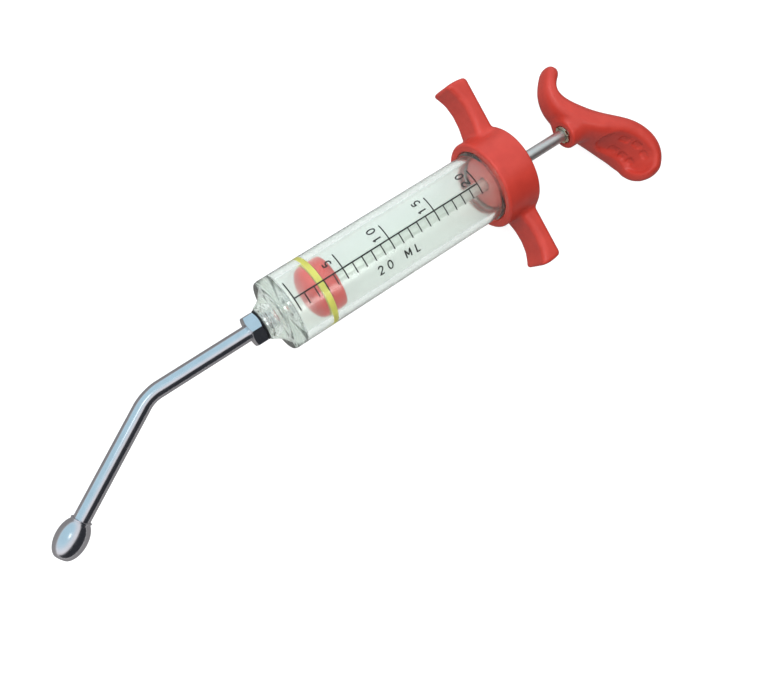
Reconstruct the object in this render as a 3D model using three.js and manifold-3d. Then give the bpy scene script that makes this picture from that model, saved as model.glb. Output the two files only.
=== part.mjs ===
// Reusable 20 ml drench and oral syringe: clear threaded barrel, bent metal nozzle with an olive tip,
// two-part piston with a ring seal, steel rod, winged screw cap and an offset palm handle.
//
// While it is built, X runs along the barrel from the barrel's front face (x = 0) towards the handle,
// Y is the direction of the wings and Z is up. The finished model stands on z = 0, centred in X and Y.
// All sizes are in millimetres.

import * as THREE from 'three';
import { mergeVertices } from 'three/addons/utils/BufferGeometryUtils.js';
import Module from 'manifold-3d';

const wasm = await Module();
wasm.setup();

// ---- driving dimensions ------------------------------------------------------------------------

const GAP = 0.2; // clearance between pieces that touch on the real object
const THREAD_CLEARANCE = 0.45; // radial room for the crests of a screw thread
const RUNNING_CLEARANCE = 0.05; // the rod in its guide

const BORE_RADIUS = 9.5;
const BARREL_RADIUS = 12;
const BARREL_THREAD_RADIUS = 12.6;
const BARREL_THREAD_START = 82.8;
const BARREL_END = 90.4;
const BARREL_CORNER = 1.3;
const BORE_START = 5.2; // where the full bore begins
const THROAT_END = 3.4; // where the outlet opens into the conical floor
const THROAT_START = 2.2;
const THROAT_RADIUS = 1.5;
const NOSE_LENGTH = 4;
const NOSE_BASE_RADIUS = 8;
const NOSE_TIP_RADIUS = 5.5;
const NOSE_BORE_RADIUS = 3.6;

const SEAL_REST = 16; // the ring seal's middle, as drawn

const WASHER_THICKNESS = 0.5;
const WASHER_RADIUS = 5.1;
const HEX_ACROSS_FLATS = 9.5;
const HEX_LENGTH = 4.2;
const TUBE_RADIUS = 2.6;
const TUBE_BORE_RADIUS = 1.7;
const TUBE_SOCKET_DEPTH = 3;
const BEND_X = -43.8;
const BEND_ANGLE = THREE.MathUtils.degToRad(30);
const BEND_RADIUS = 14;
const BEND_TO_BALL = 45.2;
const BALL_LENGTH = 11.8;
const BALL_RADIUS = 4.7;

const PISTON_RADIUS = 8.9;
const SEAL_SECTION = 2.2;
const SEAL_OUTER_RADIUS = 9.2;
const PISTON_FRONT = -2.6; // front shoulder, from the middle of the seal
const PISTON_DOME = 2.2;
const PISTON_REAR = 6.1;
const PISTON_REAR_CORNER = 2;
const ROD_WASHER_THICKNESS = 0.8;
const ROD_RADIUS = 2.05;
const ROD_STUB_RADIUS = 1.4;

const CAP_START = 82.9;
const CAP_END = 96;
const CAP_RADIUS = 15.6;
const CAP_WALL_START = 92;
const CAP_BOSS_START = 84.2; // the boss fills the barrel's mouth
const CAP_BOSS_RADIUS = 9;
const ROD_HOLE_RADIUS = 2.4;
const GUIDE_START = 87.2;
const GUIDE_RADIUS = 3.6;
const WING_REACH = 33.8;
const WING_WIDTH = 13;
const WING_BACK = 94.6;
const WING_FRONT_TIP = 86.4;
const WING_FRONT_HOLLOW = 89.6;
const WING_FRONT_ROOT = 87.8;

const HANDLE_FACE = 120.8; // where the rod enters the handle's boss
const HANDLE_BOSS_RADIUS = 5.4;
const INSERT_RADIUS = 3.2;
const INSERT_LENGTH = 6.8;
const HANDLE_TWIST = THREE.MathUtils.degToRad(22); // turns the lobe's finger side upwards

// The palm handle is lofted along a smooth line: x, y, thickness in the XY plane and width in Z.
const HANDLE_SECTIONS = [
  { x: 128.6, y: 21.2, thick: 5.6, wide: 8 },
  { x: 123.4, y: 16.6, thick: 4.6, wide: 8.5 },
  { x: 122.6, y: 10.2, thick: 7.2, wide: 11 },
  { x: 126.9, y: 2.2, thick: 9.6, wide: 14.5 },
  { x: 134.2, y: -6, thick: 9.5, wide: 18 },
  { x: 141.6, y: -14.5, thick: 8.5, wide: 20.5 },
  { x: 144, y: -22.5, thick: 7.5, wide: 19 },
  { x: 141, y: -28.5, thick: 6, wide: 12 },
];

// ---- materials ---------------------------------------------------------------------------------

function material(color, roughness, metalness) {
  return new THREE.MeshStandardMaterial({ color, roughness, metalness });
}

const clearPlastic = new THREE.MeshStandardMaterial({
  color: 0xd8e2dc,
  roughness: 0.12,
  metalness: 0,
  transparent: true,
  opacity: 0.35,
});
const chrome = material(0xc9ced6, 0.12, 1);
const steel = material(0xb9bcbd, 0.25, 1);
const brass = material(0xc9b27a, 0.3, 1);
const redPlastic = material(0xd64b3e, 0.42, 0);
const yellowRubber = material(0xc6c65a, 0.5, 0);
const blackRubber = material(0x1b1c1e, 0.6, 0);
const whiteRubber = material(0xd9d6cf, 0.6, 0);

// ---- solid modelling helpers -------------------------------------------------------------------

// A closed three.js geometry as a manifold solid, with its shared vertices merged.
function toSolid(geometry) {
  const bare = geometry.clone();
  bare.deleteAttribute('normal');
  bare.deleteAttribute('uv');
  const merged = mergeVertices(bare, 1e-4);
  const index = merged.index.array;
  const triangles = [];
  for (let i = 0; i < index.length; i += 3) {
    const [a, b, c] = [index[i], index[i + 1], index[i + 2]];
    if (a !== b && b !== c && c !== a) triangles.push(a, b, c);
  }
  const mesh = new wasm.Mesh({
    numProp: 3,
    vertProperties: new Float32Array(merged.attributes.position.array),
    triVerts: new Uint32Array(triangles),
  });
  return new wasm.Manifold(mesh);
}

function toGeometry(solid) {
  const mesh = solid.getMesh();
  const geometry = new THREE.BufferGeometry();
  geometry.setAttribute('position', new THREE.BufferAttribute(new Float32Array(mesh.vertProperties), 3));
  geometry.setIndex(new THREE.BufferAttribute(new Uint32Array(mesh.triVerts), 1));
  geometry.computeVertexNormals();
  return geometry;
}

// A turned shape about the X axis. The profile is a list of [x, radius] pairs that starts and ends on
// the axis or closes on itself, running from the -X end to the +X end along the outside.
function turned(profile, segments = 32) {
  const points = profile.map(([x, radius]) => new THREE.Vector2(radius, x));
  return new THREE.LatheGeometry(points, segments).rotateZ(-Math.PI / 2);
}

// A turned ring or sleeve with a rectangular section.
function sleeve(start, end, inner, outer, segments = 32) {
  return turned([[start, inner], [start, outer], [end, outer], [end, inner], [start, inner]], segments);
}

// A plain round pin along X.
function pin(start, end, radius, segments = 32) {
  return turned([[start, 0], [start, radius], [end, radius], [end, 0]], segments);
}

// A hexagonal prism along X with a corner pointing up.
function hexPrism(start, end, acrossFlats) {
  const geometry = new THREE.CylinderGeometry(
    acrossFlats / Math.sqrt(3), acrossFlats / Math.sqrt(3), end - start, 6);
  return geometry.rotateZ(-Math.PI / 2).translate((start + end) / 2, 0, 0);
}

// Points of an arc in a turned profile, from one angle to another (degrees, 0 along +X).
function arc(x, radius, size, from, to, steps) {
  const points = [];
  for (let i = 0; i <= steps; i += 1) {
    const angle = THREE.MathUtils.degToRad(from + ((to - from) * i) / steps);
    points.push([x + size * Math.cos(angle), radius + size * Math.sin(angle)]);
  }
  return points;
}

const model = new THREE.Group();

function add(name, geometry, finish) {
  const mesh = new THREE.Mesh(geometry, finish);
  mesh.name = name;
  model.add(mesh);
  return mesh;
}

// ---- barrel ------------------------------------------------------------------------------------

function barrelGeometry() {
  const corner = BARREL_RADIUS - BARREL_CORNER;
  const profile = [
    [-NOSE_LENGTH, NOSE_BORE_RADIUS],
    [-NOSE_LENGTH, NOSE_TIP_RADIUS],
    [-NOSE_LENGTH / 2, (NOSE_TIP_RADIUS + NOSE_BASE_RADIUS) / 2 - 0.3],
    [-0.4, NOSE_BASE_RADIUS],
    [0, NOSE_BASE_RADIUS + 0.5],
    ...arc(BARREL_CORNER, corner, BARREL_CORNER, 180, 90, 4),
    [BARREL_THREAD_START, BARREL_RADIUS],
    [BARREL_THREAD_START + 0.6, BARREL_THREAD_RADIUS],
    [BARREL_END, BARREL_THREAD_RADIUS],
    [BARREL_END, BORE_RADIUS],
    [BORE_START, BORE_RADIUS],
    [THROAT_END, THROAT_RADIUS],
    [THROAT_START, THROAT_RADIUS],
    [THROAT_START, NOSE_BORE_RADIUS],
    [-NOSE_LENGTH, NOSE_BORE_RADIUS],
  ];
  return turned(profile, 40);
}

add('barrel', barrelGeometry(), clearPlastic);

// ---- nozzle ------------------------------------------------------------------------------------

const washerEnd = -NOSE_LENGTH - GAP;
const washerStart = washerEnd - WASHER_THICKNESS;
const hexEnd = washerStart - GAP;
const hexStart = hexEnd - HEX_LENGTH;
const spigotRadius = NOSE_BORE_RADIUS - THREAD_CLEARANCE;
const spigotEnd = THROAT_START - 3 * GAP;

function hubGeometry() {
  const hex = toSolid(hexPrism(hexStart, hexEnd, HEX_ACROSS_FLATS));
  const spigot = toSolid(pin(hexEnd - 1, spigotEnd, spigotRadius));
  const channel = toSolid(pin(hexStart - 1, spigotEnd + 1, TUBE_BORE_RADIUS));
  const socket = toSolid(pin(hexStart - 1, hexStart + TUBE_SOCKET_DEPTH, TUBE_RADIUS + GAP));
  return toGeometry(hex.add(spigot).subtract(channel).subtract(socket));
}

// The tube's middle line: straight out of the hub, one bend in the XY plane, straight to the ball.
// The bend takes all but the first and last steps of the line, so it is smooth with few sections.
class NozzleLine extends THREE.Curve {
  constructor(steps) {
    super();
    const tangent = BEND_RADIUS * Math.tan(BEND_ANGLE / 2);
    this.straightShare = 1 / steps;
    this.start = new THREE.Vector3(hexStart + TUBE_SOCKET_DEPTH - GAP, 0, 0);
    this.bendStart = new THREE.Vector3(BEND_X + tangent, 0, 0);
    this.direction = new THREE.Vector3(-Math.cos(BEND_ANGLE), -Math.sin(BEND_ANGLE), 0);
    this.lastLength = BEND_TO_BALL - tangent - BALL_LENGTH * 0.1;
  }

  onBend(angle) {
    const x = this.bendStart.x - BEND_RADIUS * Math.sin(angle);
    return new THREE.Vector3(x, BEND_RADIUS * (Math.cos(angle) - 1), 0);
  }

  getPoint(share) {
    const straight = this.straightShare;
    if (share < straight) return this.start.clone().lerp(this.bendStart, share / straight);
    if (share <= 1 - straight) return this.onBend((BEND_ANGLE * (share - straight)) / (1 - 2 * straight));
    const past = (this.lastLength * (share - 1 + straight)) / straight;
    return this.onBend(BEND_ANGLE).addScaledVector(this.direction, past);
  }

  getPointAt(share) {
    return this.getPoint(share);
  }

  getTangentAt(share) {
    return this.getTangent(share);
  }
}

function tubeGeometry() {
  const steps = 10;
  const section = new THREE.Shape().absarc(0, 0, TUBE_RADIUS, 0, 2 * Math.PI, false);
  section.holes.push(new THREE.Path().absarc(0, 0, TUBE_BORE_RADIUS, 0, 2 * Math.PI, true));
  const settings = { steps, curveSegments: 10, extrudePath: new NozzleLine(steps) };
  return new THREE.ExtrudeGeometry(section, settings);
}

// The olive tip, built along X about its own middle with the outlet at the -X end.
function ballGeometry() {
  const half = BALL_LENGTH / 2;
  const socket = TUBE_RADIUS + GAP;
  const socketEnd = -half * 0.1;
  const profile = [[-half, TUBE_BORE_RADIUS], [-half, TUBE_BORE_RADIUS + 0.5]];
  const steps = 10;
  for (let i = 0; i <= steps; i += 1) {
    const angle = Math.PI * (0.16 + (0.64 * i) / steps);
    profile.push([-half * 1.1 * Math.cos(angle), BALL_RADIUS * Math.sin(angle) ** 0.85]);
  }
  profile.push([half, socket + 0.5], [half, socket], [socketEnd, socket]);
  profile.push([socketEnd, TUBE_BORE_RADIUS], [-half, TUBE_BORE_RADIUS]);
  return turned(profile, 28);
}

add('nozzle_washer', sleeve(washerStart, washerEnd, spigotRadius + GAP, WASHER_RADIUS), blackRubber);
add('nozzle_hub', hubGeometry(), chrome);
add('nozzle_tube', tubeGeometry(), chrome);

const ball = add('nozzle_ball', ballGeometry(), chrome);
ball.position.set(
  BEND_X - BEND_TO_BALL * Math.cos(BEND_ANGLE), -BEND_TO_BALL * Math.sin(BEND_ANGLE), 0);
ball.rotation.z = BEND_ANGLE;

// ---- piston and rod ----------------------------------------------------------------------------

const plunger = new THREE.Group();
plunger.position.x = SEAL_REST; // every plunger piece is placed from the middle of the seal
model.add(plunger);

const sealSeat = SEAL_OUTER_RADIUS - SEAL_SECTION - GAP;
const sealSide = SEAL_SECTION / 2 + GAP;
const nutStart = -1.9;
const nutEnd = 0;
const washerAt = PISTON_REAR + GAP;
const washerTo = washerAt + ROD_WASHER_THICKNESS;
const rodShoulder = washerTo + GAP;

function addToPlunger(name, geometry, finish) {
  plunger.add(add(name, geometry, finish));
}

function pistonFrontGeometry() {
  const profile = [[PISTON_FRONT - PISTON_DOME, 0]];
  for (const share of [0.35, 0.65, 0.87]) {
    profile.push([PISTON_FRONT - PISTON_DOME * Math.sqrt(1 - share * share), PISTON_RADIUS * share]);
  }
  profile.push([PISTON_FRONT, PISTON_RADIUS - 0.3], [PISTON_FRONT + 0.4, PISTON_RADIUS]);
  profile.push([-sealSide, PISTON_RADIUS], [-sealSide, sealSeat], [0, sealSeat], [0, 0]);
  const body = toSolid(turned(profile, 40));
  return toGeometry(body.subtract(toSolid(pin(nutStart - GAP, 1, 3.6, 24))));
}

function pistonRearGeometry() {
  const corner = PISTON_REAR_CORNER;
  const profile = [
    [GAP, ROD_STUB_RADIUS + GAP],
    [GAP, sealSeat],
    [sealSide, sealSeat],
    [sealSide, PISTON_RADIUS],
    ...arc(PISTON_REAR - corner, PISTON_RADIUS - corner, corner, 90, 0, 3),
    [PISTON_REAR, ROD_STUB_RADIUS + GAP],
    [GAP, ROD_STUB_RADIUS + GAP],
  ];
  return turned(profile, 40);
}

function sealGeometry() {
  const radius = SEAL_OUTER_RADIUS - SEAL_SECTION / 2;
  return turned(arc(0, radius, SEAL_SECTION / 2, 180, -180, 10), 36);
}

function nutGeometry() {
  const hex = toSolid(hexPrism(nutStart, nutEnd, 5.5));
  return toGeometry(hex.subtract(toSolid(pin(nutStart - 1, nutEnd + 1, ROD_STUB_RADIUS + GAP, 24))));
}

function rodGeometry() {
  const rodEnd = HANDLE_FACE + INSERT_LENGTH - GAP - SEAL_REST;
  const profile = [
    [nutStart, 0],
    [nutStart, ROD_STUB_RADIUS],
    [rodShoulder, ROD_STUB_RADIUS],
    [rodShoulder, ROD_RADIUS],
    [rodEnd, ROD_RADIUS],
    [rodEnd, 0],
  ];
  return turned(profile, 24);
}

addToPlunger('piston_front', pistonFrontGeometry(), redPlastic);
addToPlunger('piston_rear', pistonRearGeometry(), redPlastic);
addToPlunger('piston_seal', sealGeometry(), yellowRubber);
addToPlunger('piston_nut', nutGeometry(), steel);
addToPlunger('piston_washer', sleeve(washerAt, washerTo, ROD_STUB_RADIUS + GAP, 4, 24), steel);
addToPlunger('plunger_rod', rodGeometry(), steel);

// ---- screw cap ---------------------------------------------------------------------------------

// One finger wing: flat at the back, hollowed at the front, drawn for the +Y side.
function wingGeometry() {
  const root = CAP_RADIUS - 3;
  const outline = new THREE.Shape();
  outline.moveTo(WING_BACK, root);
  outline.lineTo(WING_BACK, WING_REACH - 1);
  outline.quadraticCurveTo(WING_BACK, WING_REACH, WING_BACK - 1.2, WING_REACH);
  outline.lineTo(WING_FRONT_TIP + 0.8, WING_REACH);
  outline.quadraticCurveTo(WING_FRONT_TIP, WING_REACH, WING_FRONT_TIP + 0.2, WING_REACH - 1);
  outline.quadraticCurveTo(WING_FRONT_HOLLOW, WING_REACH - 7, WING_FRONT_HOLLOW - 0.4, CAP_RADIUS + 3);
  outline.lineTo(WING_FRONT_ROOT, root);
  const geometry = new THREE.ExtrudeGeometry(outline, {
    depth: WING_WIDTH,
    curveSegments: 6,
    bevelEnabled: false,
  });
  return geometry.translate(0, 0, -WING_WIDTH / 2);
}

function capGeometry() {
  const mouth = BARREL_THREAD_RADIUS + THREAD_CLEARANCE;
  const ring = toSolid(turned([
    [CAP_START, mouth],
    [CAP_START, CAP_RADIUS - 0.6],
    [CAP_START + 0.6, CAP_RADIUS],
    [CAP_END - 0.8, CAP_RADIUS],
    [CAP_END, CAP_RADIUS - 0.8],
    [CAP_END, GUIDE_RADIUS + GAP],
    [GUIDE_START, GUIDE_RADIUS + GAP],
    [GUIDE_START, ROD_HOLE_RADIUS],
    [CAP_BOSS_START, ROD_HOLE_RADIUS],
    [CAP_BOSS_START, CAP_BOSS_RADIUS],
    [CAP_WALL_START, CAP_BOSS_RADIUS],
    [CAP_WALL_START, mouth],
    [CAP_START, mouth],
  ], 40));
  const bore = toSolid(pin(CAP_START - 1, CAP_WALL_START, mouth + 1, 40));
  const wing = toSolid(wingGeometry()).subtract(bore);
  const otherWing = toSolid(wingGeometry().rotateX(Math.PI)).subtract(bore);
  return toGeometry(ring.add(wing).add(otherWing));
}

// The bush that the rod slides in, let into the cap from behind.
function guideGeometry() {
  return sleeve(GUIDE_START + GAP, CAP_END - GAP, ROD_RADIUS + RUNNING_CLEARANCE, GUIDE_RADIUS);
}

// The flat ring that the barrel's rear edge is screwed down on.
function gasketGeometry() {
  return sleeve(BARREL_END + GAP, CAP_WALL_START - GAP, BORE_RADIUS + 0.3, BARREL_THREAD_RADIUS, 40);
}

add('end_cap', capGeometry(), redPlastic);
add('cap_gasket', gasketGeometry(), whiteRubber);
add('rod_guide', guideGeometry(), steel);

// ---- handle ------------------------------------------------------------------------------------

// A closed loft: rounded sections square to the middle line, rounded off at each end.
function handleLoft() {
  const around = 20;
  const stations = 28;
  const roundedStations = 2.5;
  const line = new THREE.CatmullRomCurve3(
    HANDLE_SECTIONS.map((section) => new THREE.Vector3(section.x, section.y, 0)), false, 'centripetal');
  const sizes = new THREE.SplineCurve(
    HANDLE_SECTIONS.map((section) => new THREE.Vector2(section.thick, section.wide)));
  const positions = [];
  const indices = [];
  for (let i = 0; i <= stations; i += 1) {
    const share = i / stations;
    const centre = line.getPoint(share);
    const along = line.getTangent(share);
    const size = sizes.getPoint(share);
    const fromEnd = Math.min(i, stations - i) + 0.5;
    const rounding = Math.sqrt(1 - Math.max(0, 1 - fromEnd / roundedStations) ** 2);
    const twist = HANDLE_TWIST * THREE.MathUtils.smoothstep(share, 0.43, 0.68);
    for (let j = 0; j < around; j += 1) {
      const angle = (2 * Math.PI * j) / around;
      const across = Math.sign(Math.cos(angle)) * Math.abs(Math.cos(angle)) ** 0.8 * (size.x / 2) * rounding;
      const up = Math.sign(Math.sin(angle)) * Math.abs(Math.sin(angle)) ** 0.8 * (size.y / 2) * rounding;
      const aside = across * Math.cos(twist) + up * Math.sin(twist);
      const height = up * Math.cos(twist) - across * Math.sin(twist);
      positions.push(centre.x - along.y * aside, centre.y + along.x * aside, height);
    }
  }
  for (let i = 0; i < stations; i += 1) {
    for (let j = 0; j < around; j += 1) {
      const a = i * around + j;
      const b = i * around + ((j + 1) % around);
      indices.push(a, b + around, a + around, a, b, b + around);
    }
  }
  const first = positions.length / 3;
  const ends = [line.getPoint(0), line.getPoint(1)];
  ends[0].addScaledVector(line.getTangent(0), -0.8);
  ends[1].addScaledVector(line.getTangent(1), 0.8);
  for (const end of ends) positions.push(end.x, end.y, end.z);
  for (let j = 0; j < around; j += 1) {
    const next = (j + 1) % around;
    indices.push(first, next, j);
    indices.push(first + 1, stations * around + j, stations * around + next);
  }
  const geometry = new THREE.BufferGeometry();
  geometry.setAttribute('position', new THREE.Float32BufferAttribute(positions, 3));
  geometry.setIndex(indices);
  return geometry;
}

function handleGeometry() {
  const boss = toSolid(pin(HANDLE_FACE, HANDLE_FACE + 6, HANDLE_BOSS_RADIUS, 32));
  const socket = toSolid(pin(HANDLE_FACE - 4, HANDLE_FACE + INSERT_LENGTH + GAP, INSERT_RADIUS + GAP, 32));
  return toGeometry(toSolid(handleLoft()).add(boss).subtract(socket));
}

// The threaded insert that the rod screws into, with four key notches in its face.
function insertGeometry() {
  const face = HANDLE_FACE - 0.4;
  let insert = toSolid(sleeve(face, HANDLE_FACE + INSERT_LENGTH, ROD_RADIUS + GAP, INSERT_RADIUS));
  for (let i = 0; i < 4; i += 1) {
    const notch = new THREE.BoxGeometry(1.6, 1.4, 1.2).translate(face, 0, INSERT_RADIUS - 0.1);
    insert = insert.subtract(toSolid(notch.rotateX((i * Math.PI) / 2)));
  }
  return toGeometry(insert);
}

add('handle', handleGeometry(), redPlastic);
add('handle_insert', insertGeometry(), brass);

// ---- stand the model on z = 0, centred in X and Y ----------------------------------------------

model.updateMatrixWorld(true);
const box = new THREE.Box3().setFromObject(model, true);
model.position.set(-(box.min.x + box.max.x) / 2, -(box.min.y + box.max.y) / 2, -box.min.z);

export default model;
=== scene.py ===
import math

import bmesh
import bpy
import numpy as np
from mathutils import Matrix, Vector


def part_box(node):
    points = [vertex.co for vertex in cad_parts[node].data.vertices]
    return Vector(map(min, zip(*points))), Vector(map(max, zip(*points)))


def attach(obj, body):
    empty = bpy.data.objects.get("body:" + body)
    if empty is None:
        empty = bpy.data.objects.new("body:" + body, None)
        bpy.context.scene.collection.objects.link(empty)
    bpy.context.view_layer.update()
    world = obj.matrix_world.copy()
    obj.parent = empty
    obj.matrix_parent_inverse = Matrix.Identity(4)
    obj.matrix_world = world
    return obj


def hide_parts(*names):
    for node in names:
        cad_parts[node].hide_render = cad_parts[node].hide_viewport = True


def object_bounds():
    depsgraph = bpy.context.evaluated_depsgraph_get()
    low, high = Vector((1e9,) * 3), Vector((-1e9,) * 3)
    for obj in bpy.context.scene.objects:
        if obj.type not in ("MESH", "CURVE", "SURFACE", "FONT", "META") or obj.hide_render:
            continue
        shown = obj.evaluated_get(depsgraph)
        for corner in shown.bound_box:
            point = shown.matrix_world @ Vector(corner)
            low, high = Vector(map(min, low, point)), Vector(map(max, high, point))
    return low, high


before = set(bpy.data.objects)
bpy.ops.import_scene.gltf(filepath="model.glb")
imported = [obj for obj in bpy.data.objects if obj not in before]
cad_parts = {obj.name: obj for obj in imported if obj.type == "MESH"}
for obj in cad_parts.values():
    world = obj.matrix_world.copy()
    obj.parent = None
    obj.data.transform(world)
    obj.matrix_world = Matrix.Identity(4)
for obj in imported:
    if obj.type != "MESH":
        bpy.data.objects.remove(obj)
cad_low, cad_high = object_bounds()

# Every piece is drawn in millimetres from the middle of the barrel's front face, as the CAD model is: X runs
# along the barrel towards the handle, Y along the finger wings and Z up. START is that point in the frame.
MM = 0.001
NOSE_LENGTH = 4.0
barrel_low, barrel_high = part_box("barrel")
START = Vector((
    barrel_low.x + NOSE_LENGTH * MM,
    (barrel_low.y + barrel_high.y) / 2,
    (barrel_low.z + barrel_high.z) / 2,
))

# ---- driving dimensions, mm --------------------------------------------------------------------------------

GAP = 0.2
BORE_RADIUS = 9.5
BARREL_RADIUS = 12.0
BARREL_THREAD_RADIUS = 12.6
BARREL_THREAD_PITCH = 3.0
BARREL_THREAD_START = 82.8
BARREL_END = 90.4
NOSE_BASE_RADIUS = 8.0
NOSE_TIP_RADIUS = 5.5
NOSE_BORE_RADIUS = 3.6
NOZZLE_THREAD_PITCH = 1.5
THROAT_RADIUS = 1.5
THROAT_START = 2.2

SCALE_ZERO = 6.0
SCALE_STEP = 3.525
SCALE_ANGLE = math.radians(11)
LETTER = 2.9
INK_HALF_WIDTH = 0.25
AXIS_HALF_WIDTH = 0.24
LONG_MARK_HALF_WIDTH = 0.22
SHORT_MARK_HALF_WIDTH = 0.21
LONG_MARK_TOP = 5.6
MARK_FOOT_END = -3.7
LETTER_PITCH = 3.55
DIGIT_OFFSET = 1.85
UNIT_MARK = "20 ML"
UNIT_MARK_FOOT = -8.55

WASHER_END = -NOSE_LENGTH - GAP
WASHER_START = WASHER_END - 0.5
HEX_END = WASHER_START - GAP
HEX_START = HEX_END - 4.2
HEX_ACROSS_FLATS = 9.5
TUBE_RADIUS = 2.6
TUBE_BORE_RADIUS = 1.7
BEND_X = -43.8
BEND_ANGLE = math.radians(30)
BEND_RADIUS = 14.0
BEND_TO_BALL = 45.2
BALL_LENGTH = 11.8
BALL_RADIUS = 4.7
SPIGOT_END = 1.6
SPIGOT_RADIUS = 2.7
TUBE_SOCKET_DEPTH = 3.0
SEALING_WASHER_HOLE = 3.35
SEALING_WASHER_RADIUS = 5.1

SEAL_X = 16.0
PISTON_RADIUS = 8.9
PISTON_DOME_START = -1.4
PISTON_APEX = -4.8
PISTON_REAR = 6.1
GROOVE_RADIUS = 6.9
NUT_POCKET_RADIUS = 3.6
NUT_POCKET_START = -2.1
NUT_HALF_FLATS = 2.75
NUT_CHAMFER_RADIUS = 2.7
NUT_HOLE_RADIUS = 1.7
ROD_WASHER_RADIUS = 4.0
ROD_WASHER_THICKNESS = 0.8
ROD_RADIUS = 2.05
ROD_STUB_RADIUS = 1.4

CAP_START = 82.9
CAP_END = 96.0
CAP_RADIUS = 15.6
CAP_MOUTH_RADIUS = 12.8
CAP_WALL_START = 92.0
CAP_BOSS_START = 84.2
CAP_BOSS_RADIUS = 9.3
ROD_HOLE_RADIUS = 2.4
GUIDE_START = 87.2
GUIDE_RADIUS = 3.6
WING_REACH = 33.8
WING_END_RADIUS = 20.0
WING_WIDTH = 13.0
WING_BACK = 94.6

HANDLE_FACE = 120.8
HANDLE_BOSS_RADIUS = 5.4
INSERT_RADIUS = 3.2
INSERT_LENGTH = 6.8
HANDLE_TWIST = math.radians(22)
TWIST_FROM = 22.6
TWIST_TO = 43.0
HANDLE_ROUNDNESS = 2.5
SCOOP_MIDDLE = 45.0
SCOOP_HALF_LENGTH = 7.5
SCOOP_RADIUS = 5.0
SCOOP_ACROSS = 2.0
SCOOP_DEPTH = 1.3
POCKET_DEPTH = 1.62
# The handle's middle line and its sections: x, y, thickness in the XY plane, width in Z.
HANDLE_SECTIONS = np.array([
    (128.6, 21.2, 5.6, 8.0),
    (123.4, 16.6, 4.6, 8.5),
    (122.6, 10.2, 7.2, 11.0),
    (126.9, 2.2, 9.6, 14.5),
    (134.2, -6.0, 9.5, 18.0),
    (141.6, -14.5, 8.5, 20.5),
    (144.0, -22.5, 7.5, 19.0),
    (141.0, -28.5, 6.0, 12.0),
])

# The camera looks down at a point level with the barrel's axis. HEADING is the way it faces, round Z from the
# barrel's direction, and LEAN is how far it tips from straight down.
VIEW_AIM = (24.5, -25.5)
VIEW_DISTANCE = 257.0
VIEW_HEADING = math.radians(-32.4)
VIEW_LEAN = math.radians(18.9)
VIEW_LENS = 38.0


# ---- meshes ------------------------------------------------------------------------------------------------

def make_object(name, vertices, faces, sharp_degrees=38):
    """A piece from points in mm and faces, smooth but for edges sharper than the given angle."""
    mesh = bpy.data.meshes.new(name)
    mesh.from_pydata((np.asarray(vertices, float) * MM).tolist(), [], faces)
    bm = bmesh.new()
    bm.from_mesh(mesh)
    bmesh.ops.remove_doubles(bm, verts=bm.verts, dist=1e-7)
    bmesh.ops.recalc_face_normals(bm, faces=bm.faces)
    bm.to_mesh(mesh)
    bm.free()
    mesh.shade_smooth()
    if sharp_degrees is not None:
        mesh.set_sharp_from_angle(angle=math.radians(sharp_degrees))
    piece = bpy.data.objects.new(name, mesh)
    piece.location = START
    bpy.context.scene.collection.objects.link(piece)
    return piece


def soften(profile, steps=5):
    """A closed profile of (x, radius) or (x, radius, fillet) corners, with the fillets drawn in."""
    points = []
    count = len(profile)
    for i, corner in enumerate(profile):
        here = np.array(corner[:2], float)
        if len(corner) == 2:
            points.append(here)
            continue
        before = np.array(profile[i - 1][:2], float) - here
        after = np.array(profile[(i + 1) % count][:2], float) - here
        size = min(corner[2], 0.48 * np.linalg.norm(before), 0.48 * np.linalg.norm(after))
        start = here + before / np.linalg.norm(before) * size
        end = here + after / np.linalg.norm(after) * size
        for t in np.linspace(0, 1, steps):
            points.append((1 - t) ** 2 * start + 2 * t * (1 - t) * here + t * t * end)
    return points


def straight(start, end, radius, steps):
    """Closely spaced profile points along a cylinder, for a thread to be cut in."""
    return [(x, radius) for x in np.linspace(start, end, steps)]


def lathe_mesh(profile, segments=96, thread=None):
    """Vertices and faces of a closed profile turned about X. thread(x, radius, angle) gives a new radius."""
    profile = np.array([p[:2] for p in profile], float)
    angles = np.linspace(0, 2 * math.pi, segments, endpoint=False)
    x = np.repeat(profile[:, :1], segments, axis=1)
    radius = np.repeat(profile[:, 1:], segments, axis=1)
    angle = np.repeat(angles[None, :], len(profile), axis=0)
    if thread is not None:
        radius = thread(x, radius, angle)
    vertices = np.stack([x, radius * np.sin(angle), radius * np.cos(angle)], axis=-1).reshape(-1, 3)
    faces = []
    count = len(profile)
    for i in range(count):
        k = (i + 1) % count
        if profile[i, 1] < 1e-6 and profile[k, 1] < 1e-6:
            continue
        for j in range(segments):
            n = (j + 1) % segments
            a, b, c, d = i * segments + j, k * segments + j, k * segments + n, i * segments + n
            if profile[i, 1] < 1e-6:
                faces.append((a, b, c))
            elif profile[k, 1] < 1e-6:
                faces.append((a, b, d))
            else:
                faces.append((a, b, c, d))
    return vertices, faces


def turned(name, profile, segments=96, thread=None, sharp_degrees=38):
    """A turned piece. Its profile is closed, or starts and ends on the axis."""
    vertices, faces = lathe_mesh(soften(profile), segments, thread)
    return make_object(name, vertices, faces, sharp_degrees)


def ring_faces(count, segments):
    """Faces between neighbouring rings of points, with the last ring joined to the first."""
    faces = []
    for i in range(count):
        k = (i + 1) % count
        for j in range(segments):
            n = (j + 1) % segments
            faces.append((i * segments + j, k * segments + j, k * segments + n, i * segments + n))
    return faces


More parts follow.
